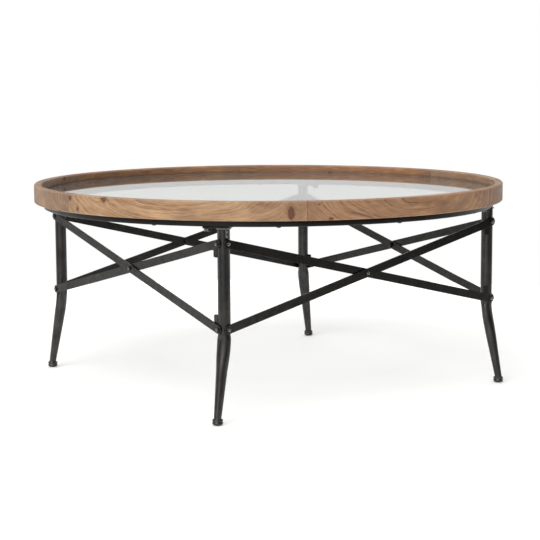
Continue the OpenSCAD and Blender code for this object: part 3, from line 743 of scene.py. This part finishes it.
# Points in a ring round a fastener
ROUND = 24
black_oxide = blackened("black_oxide_hardware", "#262626", "#3c3c3b", 0.26, (3, 3, 3),
                        rubbed_and_glint="#b9b6b0")
tree = fastener_rows = new_tree("fastener rows", {
    "Faces": ("Int", 4), "First angle": ("Float", 0.0), "Face step": ("Float", pi / 2),
    "Columns": ("Int", 1), "Column gap": ("Float", 0.1), "Rows": ("Int", 1),
    "Row gap": ("Float", 0.1), "Distance": ("Float", 0.3), "Sideways": ("Float", 0.0),
    "Height": ("Float", 0.3), "Nod": ("Float", 0.0), "Spin": ("Float", 1.0), "Seed": ("Int", 1),
    "Material": ("Material", None)})
given = add(tree, "NodeGroupInput", out=None)
number = add(tree, "GeometryNodeInputIndex")
per_face = add(tree, "ShaderNodeMath", [given["Columns"], given["Rows"]], operation="MULTIPLY")
total = add(tree, "ShaderNodeMath", [per_face, given["Faces"]], operation="MULTIPLY")
face = add(tree, "ShaderNodeMath", [number, per_face], operation="DIVIDE")
face = add(tree, "ShaderNodeMath", [face], operation="FLOOR")
on_face = add(tree, "ShaderNodeMath", [number, per_face], operation="MODULO")
row = add(tree, "ShaderNodeMath", [on_face, given["Columns"]], operation="DIVIDE")
row = add(tree, "ShaderNodeMath", [row], operation="FLOOR")
column = add(tree, "ShaderNodeMath", [on_face, given["Columns"]], operation="MODULO")
last_half = add(tree, "ShaderNodeMath", [given["Columns"], 0.5, -0.5], operation="MULTIPLY_ADD")
from_middle = add(tree, "ShaderNodeMath", [column, last_half], operation="SUBTRACT")
sideways = add(tree, "ShaderNodeMath", [from_middle, given["Column gap"], given["Sideways"]],
               operation="MULTIPLY_ADD")
height = add(tree, "ShaderNodeMath", [row, given["Row gap"], given["Height"]],
             operation="MULTIPLY_ADD")
angle = add(tree, "ShaderNodeMath", [face, given["Face step"], given["First angle"]],
            operation="MULTIPLY_ADD")
spot = add(tree, "ShaderNodeCombineXYZ", [given["Distance"], sideways, height])
spot = add(tree, "ShaderNodeVectorRotate", {"Vector": spot, "Angle": angle},
           rotation_type="Z_AXIS")
# Each was tightened to its own turn
spin = add(tree, "FunctionNodeRandomValue", {2: 0.0, 3: given["Spin"], "Seed": given["Seed"]},
           out=1, data_type="FLOAT")
facing = add(tree, "ShaderNodeCombineXYZ", [spin, given["Nod"], angle])
spots = add(tree, "GeometryNodePoints", {"Count": total, "Position": spot})
rows = add(tree, "GeometryNodeInstanceOnPoints", {
    "Points": spots, "Instance": given["Geometry"], "Rotation": facing})
real = add(tree, "GeometryNodeRealizeInstances", {"Geometry": rows})
done = add(tree, "GeometryNodeSetMaterial", {"Geometry": real, "Material": given["Material"]})
add(tree, "NodeGroupOutput", {"Geometry": done})


def turned(x, r, flats=0):
    """Ring of points round the X axis, in mm: a circle of radius r, cut to a hexagon by flats."""
    ring = []
    for i in range(ROUND):
        a = 2 * pi * i / ROUND
        q = min(r, flats / 2 / cos((a + pi / 6) % (pi / 3) - pi / 6)) if flats else r
        ring.append((x * MM, q * MM * cos(a), q * MM * sin(a)))
    return ring


def socket_button(shank):
    """Button head on X = 0 with a hexagon socket whose rim is painted bright; a shank behind."""
    dome = [turned(0.5 + 3.3 * sin(a), 5.25 * cos(a)) for a in [radians(10 * j) for j in range(7)]]
    rings = [turned(-shank, 2.4), turned(-shank + 0.6, 3), turned(0, 3), turned(0, 5.1), *dome,
             turned(3.62, 9, 4.3), turned(3.4, 9, 4.0), turned(1.8, 9, 3.9)]
    # The socket's bright rim is the key's wear and a painted highlight
    return *skin(rings), [w for w in [0] * 10 + [0.6, 1, 0.8, 0.3] for _ in range(ROUND)]


def cross_recess(x, r):
    """Ring with four arms, for the recess of a pan head."""
    return [(x * MM, q * MM * cos(2 * pi * i / ROUND), q * MM * sin(2 * pi * i / ROUND))
            for i, q in enumerate([r, r * 0.42, r * 0.36, r * 0.36, r * 0.36, r * 0.42] * 4)]


def fasteners(name, shape, nodes, seed, **places):
    """Sets one fastener out in rows, and puts the rows in the place of their CAD node."""
    mesh = bpy.data.meshes.new(name)
    mesh.from_pydata([tuple(v) for v in shape[0]], [], shape[1])
    if shape[2:]:
        mesh.attributes.new("worn", "FLOAT", "POINT").data.foreach_set("value", shape[2])
    obj = grown(name, mesh, fastener_rows, material=black_oxide, seed=seed, **places)
    close_up(obj, sharp=32)
    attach(obj, "frame")
    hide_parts(nodes)


fasteners("socket_bolts", socket_button(10.4), "brace_bolts", 3, first_angle=radians(-45),
          columns=2, column_gap=BOLT_GAP, rows=2, row_gap=BRACE_TOP - BRACE_LOW,
          distance=FACE_R + BAR_T, height=BRACE_LOW)
fasteners("crossing_bolts", socket_button(13), "cross_bolts", 5, first_angle=radians(-45),
          distance=FACE_R + BAR_T, height=BRACE_MID)
hex_nut = skin([turned(0, 3.2), turned(0, 4.7), turned(0.55, 5.8, 10), turned(4.45, 5.8, 10),
                turned(5, 4.7), turned(5, 3.2)], loop=True)
fasteners("crossing_nuts", hex_nut, "cross_nuts", 7, first_angle=radians(-45),
          distance=FACE_R - BAR_T - 5 * MM, height=BRACE_MID)
hex_bolt = skin([turned(-9.1, 3.4), turned(-8.3, 4), turned(0, 4), turned(0, 6.2),
                 turned(0.3, 9, 13), turned(4.9, 9, 13), turned(5.5, 6.1)])
# The spanner has rubbed the corners of the heads, and a highlight is painted on them
hex_bolt = *hex_bolt, [max(0, hypot(y, z) - 0.0062) / 0.0013 for _, y, z in hex_bolt[0]]
fasteners("hex_bolts", hex_bolt, "plate_bolts", 11, first_angle=radians(-90), distance=LEG_R,
          sideways=PLATE_BOLT, height=PLATE_Z - WASHER_T, nod=pi / 2)
washer = skin([turned(0, 4.3), turned(0, 7.75), turned(0.25, 8), turned(1.35, 8),
               turned(1.6, 7.75), turned(1.6, 4.3)], loop=True)
fasteners("flat_washers", washer, "plate_washers", 13, first_angle=radians(-90), distance=LEG_R,
          sideways=PLATE_BOLT, height=PLATE_Z, nod=pi / 2)
pan = [turned(0.6 + 2.4 * sin(a), 5 * cos(a)) for a in [radians(10 * j) for j in range(7)]]
pan_head = skin([turned(-23, 1), turned(-20, 2.2), turned(0, 2.2), turned(0, 4.9), *pan,
                 cross_recess(2.75, 2.1), cross_recess(1.2, 1.4)])
fasteners("pan_head_screws", pan_head, "rim_screws", 17, faces=12, face_step=pi / 6,
          first_angle=radians(SCREW_TURN), distance=LEG_R, height=RING_Z, nod=pi / 2)

# The threaded inserts in the legs stay as the CAD has them: the bolt heads and bars hide all but
# their rims, which are plain black oxide as well.
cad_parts["brace_inserts"].data.materials.clear()
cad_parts["brace_inserts"].data.materials.append(black_oxide)

# The table stands on a pale matt floor that glows like a shooting table of opal sheet lit from
# beneath, more so towards its edge; it glows least behind the table's middle, a painted shadow.
FLOOR_R = 1.6
floor_mesh = bpy.data.meshes.new("floor")
floor_mesh.from_pydata([(FLOOR_R * cos(a), FLOOR_R * sin(a), 0)
                        for a in [2 * pi * i / 96 for i in range(96)]], [], [tuple(range(96))])
floor = bpy.data.objects.new("floor", floor_mesh)
scene.collection.objects.link(floor)
pale, tree, place = new_material("pale_matt_floor")
speck = add(tree, "ShaderNodeTexNoise", {"Vector": place, "Scale": 3.0, "Detail": 3.0})
white = add(tree, "ShaderNodeMix", {0: speck, 6: linear("#f3f3f1"), 7: linear("#f6f6f4")},
            out=2, data_type="RGBA")
# The dim centre of the glow paints the table's soft shadow on the floor
painted_shadow_centre = add(tree, "ShaderNodeMapping", {"Vector": place, "Location": (0, -0.3, 0)})
from_painted_shadow = add(tree, "ShaderNodeVectorMath", [painted_shadow_centre], out="Value", operation="LENGTH")
glow = add(tree, "ShaderNodeMapRange", {
    "Value": from_painted_shadow, "From Min": 0.35, "From Max": 1.5, "To Min": 0.0, "To Max": 0.45})
shader = add(tree, "ShaderNodeBsdfPrincipled", {
    "Base Color": white, "Roughness": 0.9, "Emission Color": (1, 1, 1, 1),
    "Emission Strength": glow})
add(tree, "ShaderNodeOutputMaterial", {"Surface": shader})
floor_mesh.materials.append(pale)

# The light is that of a soft daylight studio: the brightest card stands high at the front left,
# with weaker ones low at the left and front, at the back and right, and overhead.
world = bpy.data.worlds.new("studio")
scene.world = world
world.use_nodes = True
tree = world.node_tree
tree.nodes.clear()
facing = add(tree, "ShaderNodeTexCoord", out="Generated")
light = 0.05
# Each card's direction, height, half angles of its core and its edge, and strength
for turn, lift, core, edge, strength in (
        (175, 0, 12, 42, 0.62), (248, 36, 10, 40, 3.0), (262, 8, 8, 36, 0.5),
        (35, 0, 10, 38, 0.46), (100, 5, 35, 75, 0.67), (0, 90, 20, 70, 0.9)):
    way = Vector((cos(radians(turn)) * cos(radians(lift)), sin(radians(turn)) * cos(radians(lift)),
                  sin(radians(lift))))
    near = add(tree, "ShaderNodeVectorMath", [facing, way], out="Value", operation="DOT_PRODUCT")
    card = add(tree, "ShaderNodeMapRange", {
        "Value": near, "From Min": cos(radians(edge)), "From Max": cos(radians(core)),
        "To Min": 0.0, "To Max": strength}, interpolation_type="SMOOTHSTEP")
    light = add(tree, "ShaderNodeMath", [card, light], operation="ADD")
# The camera sees plain white, straight on and through the glass; all else sees the cards
path = add(tree, "ShaderNodeLightPath", out=None)
seen = add(tree, "ShaderNodeMath", [path["Is Camera Ray"], path["Is Transmission Ray"]],
           operation="MAXIMUM")
shown = add(tree, "ShaderNodeMix", {0: seen, 2: light, 3: 1.0}, data_type="FLOAT")
sky = add(tree, "ShaderNodeBackground", {"Color": (1, 1, 1, 1), "Strength": shown})
add(tree, "ShaderNodeOutputWorld", {"Surface": sky})
scene.view_settings.view_transform = "Standard"
